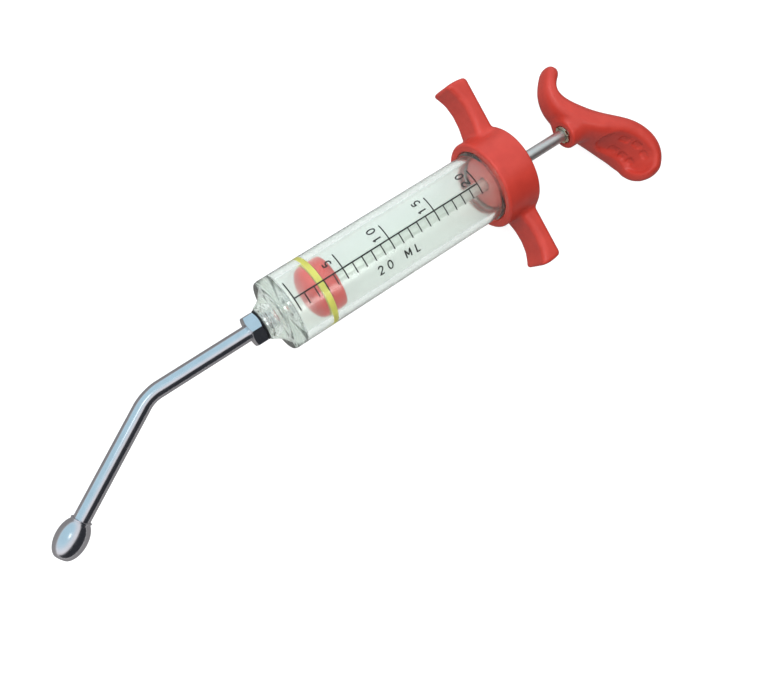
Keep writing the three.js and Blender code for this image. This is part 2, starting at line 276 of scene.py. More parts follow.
def thread_cut(pitch, start, end, radius, depth, fade):
    """A radius function for a screw thread of trapezoid form on the profile points at the given radius."""
    def cut(x, old, angle):
        phase = (x / pitch - angle / (2 * math.pi)) % 1.0
        form = np.clip((np.abs(phase - 0.5) - 0.12) / 0.2, 0, 1)
        ends = np.clip(np.minimum(x - start, end - x) / fade, 0, 1)
        on_thread = (np.abs(old - radius) < 1e-4) & (x > start) & (x < end)
        return np.where(on_thread, old + depth * form * ends, old)
    return cut


def surface_net(distance, low, high, step):
    """A closed quad mesh of the zero level of distance(points), which is negative inside."""
    low = np.array(low, float)
    counts = np.ceil((np.array(high, float) - low) / step).astype(int) + 1
    axes = [low[a] + step * np.arange(counts[a]) for a in range(3)]
    values = np.empty(counts)
    for i, x in enumerate(axes[0]):
        y, z = np.meshgrid(axes[1], axes[2], indexing="ij")
        values[i] = distance(np.stack([np.full_like(y, x), y, z], axis=-1).reshape(-1, 3)).reshape(y.shape)
    cells = counts - 1
    sums = np.zeros((*cells, 3))
    hits = np.zeros(cells)
    quads = []
    for axis in range(3):
        u, v = (axis + 1) % 3, (axis + 2) % 3
        first = np.take(values, range(counts[axis] - 1), axis)
        second = np.take(values, range(1, counts[axis]), axis)
        where = np.argwhere((first < 0) != (second < 0))
        one, two = first[tuple(where.T)], second[tuple(where.T)]
        crossing = where.astype(float)
        crossing[:, axis] += one / (one - two)
        around = []
        for du, dv in ((0, 0), (-1, 0), (-1, -1), (0, -1)):
            cell = where.copy()
            cell[:, u] += du
            cell[:, v] += dv
            np.add.at(sums, tuple(cell.T), crossing)
            np.add.at(hits, tuple(cell.T), 1)
            around.append(np.ravel_multi_index(tuple(cell.T), cells))
        quad = np.stack(around, axis=1)
        outward = one < 0
        quads.append(np.where(outward[:, None], quad, quad[:, ::-1]))
    used = np.flatnonzero(hits.ravel())
    points = low + step * sums.reshape(-1, 3)[used] / hits.ravel()[used, None]
    number = np.full(hits.size, -1)
    number[used] = np.arange(len(used))
    for _ in range(3):  # settles the points on the surface itself
        value = distance(points)
        slope = np.stack([
            distance(points + e) - distance(points - e) for e in np.eye(3) * 0.02
        ], axis=1) / 0.04
        length = np.maximum((slope ** 2).sum(1), 0.2)
        move = slope * (value / length)[:, None]
        far = np.maximum(np.linalg.norm(move, axis=1) / (0.5 * step), 1)
        points = points - move / far[:, None]
    return points, number[np.concatenate(quads)].tolist()


def blend_min(a, b, size):
    """The union of two distances with a fillet."""
    h = np.clip(0.5 + 0.5 * (b - a) / size, 0, 1)
    return b + (a - b) * h - size * h * (1 - h)


def blend_max(a, b, size):
    """The overlap of two distances with rounded edges."""
    return -blend_min(-a, -b, size)


def round_box(u, v, u_from, u_to, v_from, v_to, rounding):
    """Distance to a rounded rectangle in the plane of u and v."""
    du = np.abs(u - (u_from + u_to) / 2) - (u_to - u_from) / 2 + rounding
    dv = np.abs(v - (v_from + v_to) / 2) - (v_to - v_from) / 2 + rounding
    outside = np.hypot(np.maximum(du, 0), np.maximum(dv, 0))
    return outside + np.minimum(np.maximum(du, dv), 0) - rounding


# ---- materials ---------------------------------------------------------------------------------------------

class Finish:
    """A material with one Principled shader, and helpers for the textures that feed it."""

    def __init__(self, name):
        self.material = bpy.data.materials.new(name)
        self.material.use_nodes = True
        self.tree = self.material.node_tree
        self.tree.nodes.clear()
        self.output = self.tree.nodes.new("ShaderNodeOutputMaterial")
        self.shader = self.tree.nodes.new("ShaderNodeBsdfPrincipled")
        self.tree.links.new(self.shader.outputs[0], self.output.inputs["Surface"])
        self.coordinates = self.tree.nodes.new("ShaderNodeTexCoord")

    def set(self, **values):
        for name, value in values.items():
            self.shader.inputs[name.replace("_", " ")].default_value = value
        return self

    def link(self, source, target):
        self.tree.links.new(source, target)

    def stretched(self, scale):
        """Object coordinates with each axis scaled."""
        node = self.tree.nodes.new("ShaderNodeMapping")
        node.inputs["Scale"].default_value = scale
        self.link(self.coordinates.outputs["Object"], node.inputs["Vector"])
        return node.outputs[0]

    def noise(self, scale, detail=3.0, stretch=(1, 1, 1), roughness=0.5):
        node = self.tree.nodes.new("ShaderNodeTexNoise")
        node.inputs["Scale"].default_value = scale
        node.inputs["Detail"].default_value = detail
        node.inputs["Roughness"].default_value = roughness
        self.link(self.stretched(stretch), node.inputs["Vector"])
        return node.outputs["Fac"]

    def specks(self, scale):
        node = self.tree.nodes.new("ShaderNodeTexVoronoi")
        node.inputs["Scale"].default_value = scale
        self.link(self.stretched((1, 1, 1)), node.inputs["Vector"])
        return node.outputs["Distance"]

    def rings(self, scale, distortion=0.3):
        """Fine turned lines round the X axis."""
        node = self.tree.nodes.new("ShaderNodeTexWave")
        node.wave_type = "BANDS"
        node.bands_direction = "X"
        node.inputs["Scale"].default_value = scale
        node.inputs["Distortion"].default_value = distortion
        self.link(self.coordinates.outputs["Object"], node.inputs["Vector"])
        return node.outputs["Fac"]

    def ramp(self, factor, low, high, dark, light):
        """Colour between two tones as the factor goes from low to high."""
        node = self.tree.nodes.new("ShaderNodeValToRGB")
        node.color_ramp.elements[0].position = low
        node.color_ramp.elements[1].position = high
        node.color_ramp.elements[0].color = (*dark, 1)
        node.color_ramp.elements[1].color = (*light, 1)
        self.link(factor, node.inputs["Fac"])
        return node.outputs["Color"]

    def spread(self, factor, low, high):
        """A number between two values as the factor goes from 0.3 to 0.7."""
        node = self.tree.nodes.new("ShaderNodeMapRange")
        node.inputs["From Min"].default_value = 0.3
        node.inputs["From Max"].default_value = 0.7
        node.inputs["To Min"].default_value = low
        node.inputs["To Max"].default_value = high
        self.link(factor, node.inputs["Value"])
        return node.outputs[0]

    def base(self, colour):
        self.link(colour, self.shader.inputs["Base Color"])
        return self

    def rough(self, value):
        self.link(value, self.shader.inputs["Roughness"])
        return self

    def bump(self, *heights):
        """One Bump node after another: each height is (factor, strength, distance in mm)."""
        normal = None
        for factor, strength, distance in heights:
            node = self.tree.nodes.new("ShaderNodeBump")
            node.inputs["Strength"].default_value = strength
            node.inputs["Distance"].default_value = distance * MM
            self.link(factor, node.inputs["Height"])
            if normal is not None:
                self.link(normal, node.inputs["Normal"])
            normal = node.outputs[0]
        self.link(normal, self.shader.inputs["Normal"])
        return self

    def darker_in_reflections(self, colour, near, far):
        """Gives reflections a tone. Its strength is near at 0.1 m from the origin and far from 1 m on."""
        distance = self.tree.nodes.new("ShaderNodeVectorMath")
        distance.operation = "LENGTH"
        level = self.tree.nodes.new("ShaderNodeMapRange")
        level.inputs["From Min"].default_value = 0.1
        level.inputs["From Max"].default_value = 1.0
        level.inputs["To Min"].default_value = near
        level.inputs["To Max"].default_value = far
        self.link(self.coordinates.outputs["Object"], distance.inputs[0])
        self.link(distance.outputs["Value"], level.inputs["Value"])
        path = self.tree.nodes.new("ShaderNodeLightPath")
        tone = self.tree.nodes.new("ShaderNodeEmission")
        mix = self.tree.nodes.new("ShaderNodeMixShader")
        tone.inputs["Color"].default_value = (*colour, 1)
        self.link(level.outputs[0], tone.inputs["Strength"])
        only = self.tree.nodes.new("ShaderNodeMath")
        only.operation = "SUBTRACT"
        only.use_clamp = True
        self.link(path.outputs["Is Glossy Ray"], only.inputs[0])
        self.link(path.outputs["Is Transmission Ray"], only.inputs[1])
        self.link(only.outputs[0], mix.inputs[0])
        self.link(self.shader.outputs[0], mix.inputs[1])
        self.link(tone.outputs[0], mix.inputs[2])
        self.link(mix.outputs[0], self.output.inputs["Surface"])
        return self

    def absorbing(self, density, colour):
        """Tints the light by how much of the material it crosses; the density is per metre."""
        node = self.tree.nodes.new("ShaderNodeVolumeAbsorption")
        node.inputs["Density"].default_value = density
        node.inputs["Color"].default_value = (*colour, 1)
        self.link(node.outputs[0], self.output.inputs["Volume"])
        return self

    def open_to_lamps(self):
        """Lets lamps light what is behind the clear surface."""
        path = self.tree.nodes.new("ShaderNodeLightPath")
        clear = self.tree.nodes.new("ShaderNodeBsdfTransparent")
        mix = self.tree.nodes.new("ShaderNodeMixShader")
        clear.inputs["Color"].default_value = (0.9, 0.94, 0.91, 1)
        self.link(path.outputs["Is Shadow Ray"], mix.inputs[0])
        self.link(self.shader.outputs[0], mix.inputs[1])
        self.link(clear.outputs[0], mix.inputs[2])
        self.link(mix.outputs[0], self.output.inputs["Surface"])
        return self


def moulded_red(name, dark, light, roughness=(0.34, 0.46)):
    finish = Finish(name)
    finish.set(IOR=1.5)
    finish.base(finish.ramp(finish.noise(220, 4), 0.3, 0.7, dark, light))
    finish.rough(finish.spread(finish.noise(900, 3), *roughness))
    finish.bump(
        (finish.noise(160, 2), 0.25, 0.12),
        (finish.noise(3200, 2), 0.12, 0.02),
    )
    return finish.material


def plated(name, dark, light, roughness, stretch=(1, 1, 1)):
    finish = Finish(name)
    finish.set(Metallic=1.0, IOR=2.2)
    finish.base(finish.ramp(finish.noise(260, 3, stretch), 0.3, 0.7, dark, light))
    finish.rough(finish.spread(finish.noise(700, 4, stretch), *roughness))
    finish.bump((finish.noise(500, 3, stretch), 0.03, 0.01))
    return finish.material


def turned_steel(name, dark, light, roughness):
    finish = Finish(name)
    finish.set(Metallic=1.0, IOR=2.5)
    finish.base(finish.ramp(finish.noise(300, 4, (1, 0.2, 0.2)), 0.3, 0.7, dark, light))
    finish.rough(finish.spread(finish.noise(1800, 3, (1, 0.05, 0.05)), *roughness))
    finish.bump((finish.rings(900, 1.5), 0.05, 0.01))
    return finish.material


def clear_plastic():
    finish = Finish("clear_plastic")
    finish.set(IOR=1.46, Transmission_Weight=0.97)
    finish.base(finish.ramp(finish.noise(60, 2), 0.35, 0.65, (0.83, 0.862, 0.838), (0.85, 0.882, 0.858)))
    finish.rough(finish.spread(finish.noise(420, 4), 0.10, 0.16))
    finish.bump(
        (finish.noise(90, 2, (0.25, 1, 1)), 0.2, 0.05),
        (finish.noise(2400, 3, (0.05, 1, 1)), 0.04, 0.01),
    )
    return finish.open_to_lamps().absorbing(22.0, (0.0, 0.15, 0.03)).material


def rubber(name, dark, light, roughness, scale=1200):
    finish = Finish(name)
    finish.base(finish.ramp(finish.noise(500, 4), 0.3, 0.7, dark, light))
    finish.rough(finish.spread(finish.noise(scale, 3), *roughness))
    finish.bump((finish.noise(scale, 3), 0.2, 0.03), (finish.specks(2600), 0.08, 0.02))
    return finish.material


def ink():
    finish = Finish("scale_ink")
    finish.base(finish.ramp(finish.noise(1500, 4), 0.35, 0.75, (0.012, 0.012, 0.011), (0.035, 0.036, 0.033)))
    finish.rough(finish.spread(finish.noise(2500, 3), 0.45, 0.65))
    finish.bump((finish.noise(4000, 2), 0.15, 0.01))
    return finish.material


RED = moulded_red("red_plastic", (0.50, 0.040, 0.026), (0.56, 0.049, 0.032), (0.28, 0.4))
PISTON_RED = moulded_red("piston_plastic", (0.58, 0.040, 0.032), (0.65, 0.052, 0.042), (0.3, 0.42))
CHROME = plated("chrome", (0.74, 0.76, 0.80), (0.80, 0.82, 0.86), (0.15, 0.22))
NICKEL = plated("brass_nickel", (0.74, 0.66, 0.50), (0.84, 0.76, 0.60), (0.12, 0.24))
STEEL = turned_steel("rod_steel", (0.80, 0.85, 0.80), (0.87, 0.90, 0.86), (0.42, 0.5))
CLEAR = clear_plastic()
YELLOW = rubber("seal_rubber", (0.60, 0.56, 0.075), (0.68, 0.64, 0.11), (0.4, 0.55))
BLACK = rubber("black_rubber", (0.012, 0.012, 0.013), (0.022, 0.022, 0.024), (0.5, 0.7))
WHITE = rubber("white_rubber", (0.62, 0.60, 0.56), (0.70, 0.68, 0.64), (0.5, 0.65))
INK = ink()


def finish_piece(piece, material, body, node=None):
    piece.data.materials.clear()
    piece.data.materials.append(material)
    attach(piece, body)
    if node is not None:
        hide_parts(node)
    return piece


# ---- barrel and its scale ----------------------------------------------------------------------------------

def barrel_piece():
    outer_cut = thread_cut(
        BARREL_THREAD_PITCH, BARREL_THREAD_START + 1.6, BARREL_END - 0.3, BARREL_RADIUS - 0.1, 0.7, 1.2)
    inner_cut = thread_cut(
        NOZZLE_THREAD_PITCH, -NOSE_LENGTH + 0.4, THROAT_START - 0.3, NOSE_BORE_RADIUS, 0.55, 0.8)

    def threads(x, radius, angle):
        return inner_cut(x, outer_cut(x, radius, angle), angle)

    profile = [
        (-NOSE_LENGTH, NOSE_BORE_RADIUS + 0.3),
        (-NOSE_LENGTH, NOSE_TIP_RADIUS, 0.4),
        (-NOSE_LENGTH / 2, (NOSE_TIP_RADIUS + NOSE_BASE_RADIUS) / 2 - 0.3, 0.8),
        (-0.2, NOSE_BASE_RADIUS, 0.6),
        (0, NOSE_BASE_RADIUS + 0.8, 0.5),
        (0, BARREL_RADIUS, 1.9),
        (BARREL_THREAD_START - 0.6, BARREL_RADIUS, 0.2),
        (BARREL_THREAD_START, BARREL_THREAD_RADIUS, 0.3),
        (BARREL_THREAD_START + 1.2, BARREL_THREAD_RADIUS, 0.2),
        (BARREL_THREAD_START + 1.5, BARREL_RADIUS - 0.1),
        *straight(BARREL_THREAD_START + 1.6, BARREL_END - 0.3, BARREL_RADIUS - 0.1, 48),
        (BARREL_END, BARREL_RADIUS - 0.4),
        (BARREL_END, BORE_RADIUS, 0.4),
        (5.2, BORE_RADIUS, 0.7),
        (3.4, THROAT_RADIUS, 0.3),
        (THROAT_START, THROAT_RADIUS),
        (THROAT_START, NOSE_BORE_RADIUS),
        *straight(THROAT_START - 0.3, -NOSE_LENGTH + 0.4, NOSE_BORE_RADIUS, 60),
    ]
    return turned("clear_barrel", profile, 144, threads, 30)


finish_piece(barrel_piece(), CLEAR, "barrel", "barrel")


def bow(x, y, width, height, start, end, steps=10):
    """Points on an ellipse between two angles in degrees."""
    turns = [math.radians(start + (end - start) * i / steps) for i in range(steps + 1)]
    return [(x + width * math.cos(t), y + height * math.sin(t)) for t in turns]


# Each printed figure is its width and its strokes, as lists of points in a box one unit high.
FIGURES = {
    "0": (0.62, [bow(0.31, 0.5, 0.27, 0.47, 90, 450, 24)]),
    "1": (0.36, [[(0.02, 0.76), (0.2, 0.98), (0.2, 0.02)]]),
    "2": (0.62, [bow(0.31, 0.71, 0.25, 0.26, 170, -35, 12) + [(0.05, 0.03), (0.58, 0.03)]]),
    "5": (0.62, [[(0.53, 0.97), (0.13, 0.97), (0.09, 0.55)] + bow(0.3, 0.34, 0.25, 0.3, 125, -140, 14)]),
    "M": (0.8, [[(0.05, 0.02), (0.05, 0.97), (0.37, 0.3), (0.69, 0.97), (0.69, 0.02)]]),
    "L": (0.55, [[(0.07, 0.97), (0.07, 0.03), (0.5, 0.03)]]),
    " ": (0.5, []),
}


def on_barrel(x, along):
    """The point on the barrel's surface at x, and the given mm round from the scale line towards +Y."""
    angle = SCALE_ANGLE + along / BARREL_RADIUS
    return (x, BARREL_RADIUS * math.sin(angle), BARREL_RADIUS * math.cos(angle))


def closely(points, spacing=0.3):
    """Points added along a line so that none is further than the spacing from the next."""
    result = [points[0]]
    for start, end in zip(points, points[1:]):
        count = max(1, math.ceil(math.dist(start, end) / spacing))
        result += [
            (start[0] + (end[0] - start[0]) * i / count, start[1] + (end[1] - start[1]) * i / count)
            for i in range(1, count + 1)
        ]
    return result


def scale_strokes():
    """Every printed stroke as (half width, [(x, mm round from the scale line)])."""
    strokes = [(AXIS_HALF_WIDTH, [(SCALE_ZERO - 0.2, 0), (SCALE_ZERO + 20 * SCALE_STEP + 0.2, 0)])]
    for value in range(21):
        x = SCALE_ZERO + value * SCALE_STEP
        if value % 5 == 0:
            longer = 0.5 if value == 0 else 0.0
            strokes.append((LONG_MARK_HALF_WIDTH, [(x, LONG_MARK_TOP + longer), (x, MARK_FOOT_END - longer)]))
        else:
            strokes.append((SHORT_MARK_HALF_WIDTH, [(x, 0), (x, MARK_FOOT_END)]))
    for value in (5, 10, 15, 20):
        x = SCALE_ZERO + value * SCALE_STEP - DIGIT_OFFSET
        centres = (3.7,) if value < 10 else (1.9, 5.2)
        for figure, centre in zip(str(value), centres):
            width, lines = FIGURES[figure]
            for line in lines:
                points = [(x - v * LETTER, centre + (u - width / 2) * LETTER) for u, v in line]
                strokes.append((INK_HALF_WIDTH, points))
    middle = SCALE_ZERO + 10 * SCALE_STEP
    for i, figure in enumerate(UNIT_MARK):
        width, lines = FIGURES[figure]
        x = middle + (i - (len(UNIT_MARK) - 1) / 2) * LETTER_PITCH - width / 2 * LETTER
        for line in lines:
            strokes.append((INK_HALF_WIDTH, [(x + u * LETTER, UNIT_MARK_FOOT + v * LETTER) for u, v in line]))
    return strokes


def scale_piece():
    curve = bpy.data.curves.new("scale_print", "CURVE")
    curve.dimensions = "3D"
    curve.bevel_depth = MM
    curve.bevel_resolution = 2
    curve.use_fill_caps = True
    for half_width, line in scale_strokes():
        points = [on_barrel(x, along) for x, along in closely(line)]
        spline = curve.splines.new("POLY")
        spline.points.add(len(points) - 1)
        for point, place in zip(spline.points, points):
            point.co = (*(c * MM for c in place), 1)
            point.radius = half_width
    drawn = bpy.data.objects.new("scale_curve", curve)
    bpy.context.scene.collection.objects.link(drawn)
    bpy.context.view_layer.update()
    mesh = bpy.data.meshes.new_from_object(drawn.evaluated_get(bpy.context.evaluated_depsgraph_get()))
    bpy.data.objects.remove(drawn)
    points = np.array([v.co for v in mesh.vertices]) / MM
    radius = np.hypot(points[:, 1], points[:, 2])
    flat = BARREL_RADIUS + 0.012 + (radius - BARREL_RADIUS) * 0.08
    points[:, 1] *= flat / radius
    points[:, 2] *= flat / radius
    mesh.vertices.foreach_set("co", (points * MM).ravel())
    mesh.name = "scale_print"
    piece = bpy.data.objects.new("scale_print", mesh)
    piece.location = START
    bpy.context.scene.collection.objects.link(piece)
    return piece


finish_piece(scale_piece(), INK, "barrel")


# ---- nozzle ------------------------------------------------------------------------------------------------

def washer_piece():
    return turned("sealing_washer", [
        (WASHER_START, SEALING_WASHER_HOLE, 0.1),
        (WASHER_START, SEALING_WASHER_RADIUS, 0.25),
        (WASHER_END, SEALING_WASHER_RADIUS, 0.25),
        (WASHER_END, SEALING_WASHER_HOLE, 0.1),
    ], 96)


def hub_piece():
    """A chamfered hexagon with a threaded spigot, bored through and counterbored for the tube."""
    segments = 144
    angles = np.linspace(0, 2 * math.pi, segments, endpoint=False)
    sector = (angles + math.pi / 6) % (math.pi / 3) - math.pi / 6
    flat = HEX_ACROSS_FLATS / 2
    hexagon = flat / np.cos(math.pi / 6 - np.abs(sector))
    chamfer = flat + 0.05
    slope = math.tan(math.radians(32))
    cut = thread_cut(NOZZLE_THREAD_PITCH, HEX_END + 0.5, SPIGOT_END - 0.2, SPIGOT_RADIUS, 0.5, 0.8)
    rings = []

    def ring(x, radius):
        x, radius = np.broadcast_to(x, segments), np.broadcast_to(radius, segments)
        rings.append(np.stack([x, radius * np.sin(angles), radius * np.cos(angles)], axis=1))

    ring(HEX_START, TUBE_RADIUS + 0.06)
    ring(HEX_START, chamfer - 0.12)
    ring(HEX_START + 0.06, chamfer)
    ring(HEX_START + 0.06 + (hexagon - chamfer) * slope, hexagon)
    ring(HEX_END - 0.06 - (hexagon - chamfer) * slope, hexagon)
    ring(HEX_END - 0.06, chamfer)
    ring(HEX_END, chamfer - 0.12)
    ring(HEX_END, SPIGOT_RADIUS)
    for x in np.linspace(HEX_END + 0.1, SPIGOT_END - 0.2, 64):
        ring(x, cut(np.full(segments, x), np.full(segments, SPIGOT_RADIUS), angles))
    ring(SPIGOT_END, SPIGOT_RADIUS - 0.2)
    ring(SPIGOT_END, TUBE_BORE_RADIUS)
    ring(HEX_START + TUBE_SOCKET_DEPTH, TUBE_BORE_RADIUS)
    ring(HEX_START + TUBE_SOCKET_DEPTH, TUBE_RADIUS + 0.06)
    return make_object("hexagon_hub", np.concatenate(rings), ring_faces(len(rings), segments), 20)


def nozzle_line():
    """Points along the tube's middle line, with how far each is round the bend, 0 to 1."""
    tangent = BEND_RADIUS * math.tan(BEND_ANGLE / 2)
    start = np.array([HEX_START + 2.9, 0.0])
    bend = np.array([BEND_X + tangent, 0.0])
    direction = np.array([-math.cos(BEND_ANGLE), -math.sin(BEND_ANGLE)])
    rows = [(start, 0.0), (start + [-2.95, 0], 0.0), (start + [-3.2, 0], 0.0)]
    rows += [(start + (bend - start) * t, 0.0) for t in (0.4, 0.7, 0.9)]
    for i in range(37):
        angle = BEND_ANGLE * i / 36
        rows.append((bend + BEND_RADIUS * np.array([-math.sin(angle), math.cos(angle) - 1]), i / 36))
    last = rows[-1][0]
    length = BEND_TO_BALL - tangent - BALL_LENGTH * 0.1
    rows += [(last + direction * length * t, 1.0) for t in (0.1, 0.3, 0.6, 0.85, 1.0)]
    return rows


def tube_piece():
    segments = 64
    angles = np.linspace(0, 2 * math.pi, segments, endpoint=False)
    rows = nozzle_line()
    rings = []
    for radius, order in ((TUBE_RADIUS, rows), (TUBE_BORE_RADIUS, rows[::-1])):
        for centre, share in order:
            turn = BEND_ANGLE * share
            across = np.array([-math.sin(turn), math.cos(turn)])
            squash = 0.035 * math.sin(math.pi * share) if radius == TUBE_RADIUS else 0.0
            side = radius * (1 - squash) * np.sin(angles)
            up = radius * (1 + squash * 0.6) * np.cos(angles)
            rings.append(np.stack([centre[0] + across[0] * side, centre[1] + across[1] * side, up], axis=1))
    return make_object("bent_tube", np.concatenate(rings), ring_faces(len(rings), segments), 50)


def ball_piece():
    """The olive tip: an egg with a rounded outlet, its neck let over the tube."""
    half = BALL_LENGTH / 2
    points = [(-half + 2.0, TUBE_BORE_RADIUS - 0.25), (-half + 0.35, TUBE_BORE_RADIUS - 0.2)]
    points += [(-half + 0.06, TUBE_BORE_RADIUS), (-half, TUBE_BORE_RADIUS + 0.25)]
    for i in range(49):
        angle = math.pi * (0.14 + 0.66 * i / 48)
        points.append((-half * 1.1 * math.cos(angle), BALL_RADIUS * math.sin(angle) ** 0.85))
    points += [(half - 0.15, TUBE_RADIUS + 0.62), (half, TUBE_RADIUS + 0.42), (half, TUBE_RADIUS + 0.05)]
    points += [(-half * 0.1, TUBE_RADIUS + 0.05), (-half * 0.1, TUBE_BORE_RADIUS - 0.25)]
    vertices, faces = lathe_mesh(points, 96)
    cosine, sine = math.cos(BEND_ANGLE), math.sin(BEND_ANGLE)
    turn = np.array([[cosine, -sine], [sine, cosine]])
    vertices[:, :2] = vertices[:, :2] @ turn.T
    vertices[:, 0] += BEND_X - BEND_TO_BALL * math.cos(BEND_ANGLE)
    vertices[:, 1] -= BEND_TO_BALL * math.sin(BEND_ANGLE)
    return make_object("olive_tip", vertices, faces, 40)


finish_piece(washer_piece(), BLACK, "nozzle_seat", "nozzle_washer")
finish_piece(hub_piece(), CHROME, "nozzle", "nozzle_hub")
finish_piece(tube_piece(), CHROME, "nozzle", "nozzle_tube")
finish_piece(ball_piece(), CHROME, "nozzle", "nozzle_ball")


# ---- piston, seal and rod ----------------------------------------------------------------------------------

def from_seal(profile):
    """A profile given from the middle of the seal."""
    return [(SEAL_X + x, *rest) for x, *rest in profile]


def piston_front_piece():
    shares = np.sin(np.linspace(0, math.pi / 2, 22))
    depth = PISTON_DOME_START - PISTON_APEX
    dome = [(PISTON_DOME_START - depth * (1 - t ** 2.4) ** (1 / 2.4), PISTON_RADIUS * t) for t in shares]
    return turned("piston_front_half", from_seal([
        *dome,
        (-1.3, PISTON_RADIUS),
        (-1.3, GROOVE_RADIUS, 0.2),
        (0.0, GROOVE_RADIUS),
        (0.0, NUT_POCKET_RADIUS),
        (NUT_POCKET_START, NUT_POCKET_RADIUS),
        (NUT_POCKET_START, 0),
    ]), 128, None, 45)


def piston_rear_piece():
    return turned("piston_rear_half", from_seal([
        (0.1, 1.6),
        (0.1, GROOVE_RADIUS),
        (1.3, GROOVE_RADIUS, 0.2),
        (1.3, PISTON_RADIUS, 0.25),
        (PISTON_REAR, PISTON_RADIUS, 2.4),
        (PISTON_REAR, 4.9, 0.3),
        (PISTON_REAR - 0.35, 4.6, 0.2),
        (PISTON_REAR - 0.35, 1.6),
    ]), 128, None, 45)


def seal_piece():
    """The ring, pressed flat where it bears on the bore."""
    return turned("piston_ring_seal", from_seal([
        (-1.05, BORE_RADIUS + 0.02, 0.28),
        (1.05, BORE_RADIUS + 0.02, 0.28),
        (1.12, 8.3, 0.5),
        (0.9, 7.0, 0.4),
        (-0.9, 7.0, 0.4),
        (-1.12, 8.3, 0.5),
    ]), 128, None, 60)


def nut_piece():
    segments = 72
    angles = np.linspace(0, 2 * math.pi, segments, endpoint=False)
    sector = (angles + math.pi / 6) % (math.pi / 3) - math.pi / 6
    hexagon = NUT_HALF_FLATS / np.cos(math.pi / 6 - np.abs(sector))
    slope = math.tan(math.radians(30))
    rings = []
    for x, radius in (
        (-1.9, NUT_HOLE_RADIUS),
        (-1.9, NUT_CHAMFER_RADIUS),
        (-1.9 + (hexagon - NUT_CHAMFER_RADIUS) * slope, hexagon),
        (-0.1 - (hexagon - NUT_CHAMFER_RADIUS) * slope, hexagon),
        (-0.1, NUT_CHAMFER_RADIUS),
        (-0.1, NUT_HOLE_RADIUS),
    ):
        x, radius = np.broadcast_to(SEAL_X + x, segments), np.broadcast_to(radius, segments)
        rings.append(np.stack([x, radius * np.sin(angles), radius * np.cos(angles)], axis=1))
    return make_object("rod_nut", np.concatenate(rings), ring_faces(len(rings), segments), 20)


def rod_piece():
    shoulder = SEAL_X + PISTON_REAR + 1.2
    return turned("rod", [
        (SEAL_X - 1.9, 0),
        (SEAL_X - 1.9, ROD_STUB_RADIUS, 0.2),
        (shoulder, ROD_STUB_RADIUS),
        (shoulder, ROD_RADIUS, 0.3),
        (HANDLE_FACE + INSERT_LENGTH - 0.2, ROD_RADIUS, 0.3),
        (HANDLE_FACE + INSERT_LENGTH - 0.2, 0),
    ], 64)


def rod_washer_piece():
    start = SEAL_X + PISTON_REAR + 0.2
    return turned("rod_washer", [
        (start, NUT_HOLE_RADIUS, 0.1),
        (start, ROD_WASHER_RADIUS, 0.25),
        (start + ROD_WASHER_THICKNESS, ROD_WASHER_RADIUS, 0.25),
        (start + ROD_WASHER_THICKNESS, NUT_HOLE_RADIUS, 0.1),
    ], 72)


finish_piece(piston_front_piece(), PISTON_RED, "plunger", "piston_front")
finish_piece(piston_rear_piece(), PISTON_RED, "plunger", "piston_rear")
finish_piece(seal_piece(), YELLOW, "seal", "piston_seal")
finish_piece(nut_piece(), STEEL, "plunger", "piston_nut")
finish_piece(rod_washer_piece(), STEEL, "plunger", "piston_washer")
finish_piece(rod_piece(), STEEL, "plunger", "plunger_rod")


# ---- screw cap ---------------------------------------------------------------------------------------------

def wing_front(reach):
    """How far forward a wing's hollowed front face lies at a distance from the axis."""
    points = np.array([
        (11.0, 87.6),
        (16.0, 88.5),
        (20.0, 89.3),
        (24.5, 89.5),
        (28.5, 88.9),
        (31.5, 87.7),
        (34.5, 85.9),
    ])
    return np.interp(reach, points[:, 0], points[:, 1])


SMOOTH_REACH = np.linspace(9, 36, 271)
SMOOTH_FRONT = np.convolve(
    np.pad(wing_front(SMOOTH_REACH), 15, mode="edge"), np.hanning(31) / np.hanning(31).sum(), mode="valid")


def cap_distance(p):
    x, y, z = p.T
    radius = np.hypot(y, z)
    reach = np.abs(y)
    ring = round_box(x, radius, CAP_START, CAP_END, -CAP_RADIUS, CAP_RADIUS, 0.9)
    front = (np.interp(reach, SMOOTH_REACH, SMOOTH_FRONT) - x) * 0.93
    end = np.hypot(x - 89.8, reach - WING_REACH + WING_END_RADIUS) - WING_END_RADIUS
    side = np.abs(z) - WING_WIDTH / 2
    plate = blend_max(blend_max(front, side, 2.4), blend_max(x - WING_BACK, end, 1.3), 1.6)
    plate = np.maximum(plate, 11 - reach)
    body = blend_min(ring, plate, 1.5)
    mouth = round_box(x, radius, CAP_START - 20, CAP_WALL_START, -CAP_MOUTH_RADIUS, CAP_MOUTH_RADIUS, 0.5)
    body = blend_max(body, -mouth, 0.5)
    boss = round_box(x, radius, CAP_BOSS_START, CAP_WALL_START + 1, -CAP_BOSS_RADIUS, CAP_BOSS_RADIUS, 0.6)
    body = blend_min(body, boss, 0.7)
    seat = round_box(x, radius, GUIDE_START, CAP_END + 5, -GUIDE_RADIUS - 0.12, GUIDE_RADIUS + 0.12, 0.1)
    return blend_max(body, -np.minimum(seat, radius - ROD_HOLE_RADIUS), 0.3)


def cap_piece():
    reach = WING_REACH + 1.0
    low = (CAP_START - 1.03, -reach - 0.02, -CAP_RADIUS - 1.01)
    high = (CAP_END + 1.0, reach, CAP_RADIUS + 1.0)
    points, faces = surface_net(cap_distance, low, high, 0.27)
    return make_object("winged_cap", points, faces, None)


def gasket_piece():
    return turned("cap_ring_gasket", [
        (BARREL_END + GAP, BORE_RADIUS + 0.3, 0.2),
        (BARREL_END + GAP, BARREL_THREAD_RADIUS, 0.3),
        (CAP_WALL_START - GAP, BARREL_THREAD_RADIUS, 0.3),
        (CAP_WALL_START - GAP, BORE_RADIUS + 0.3, 0.2),
    ], 96)


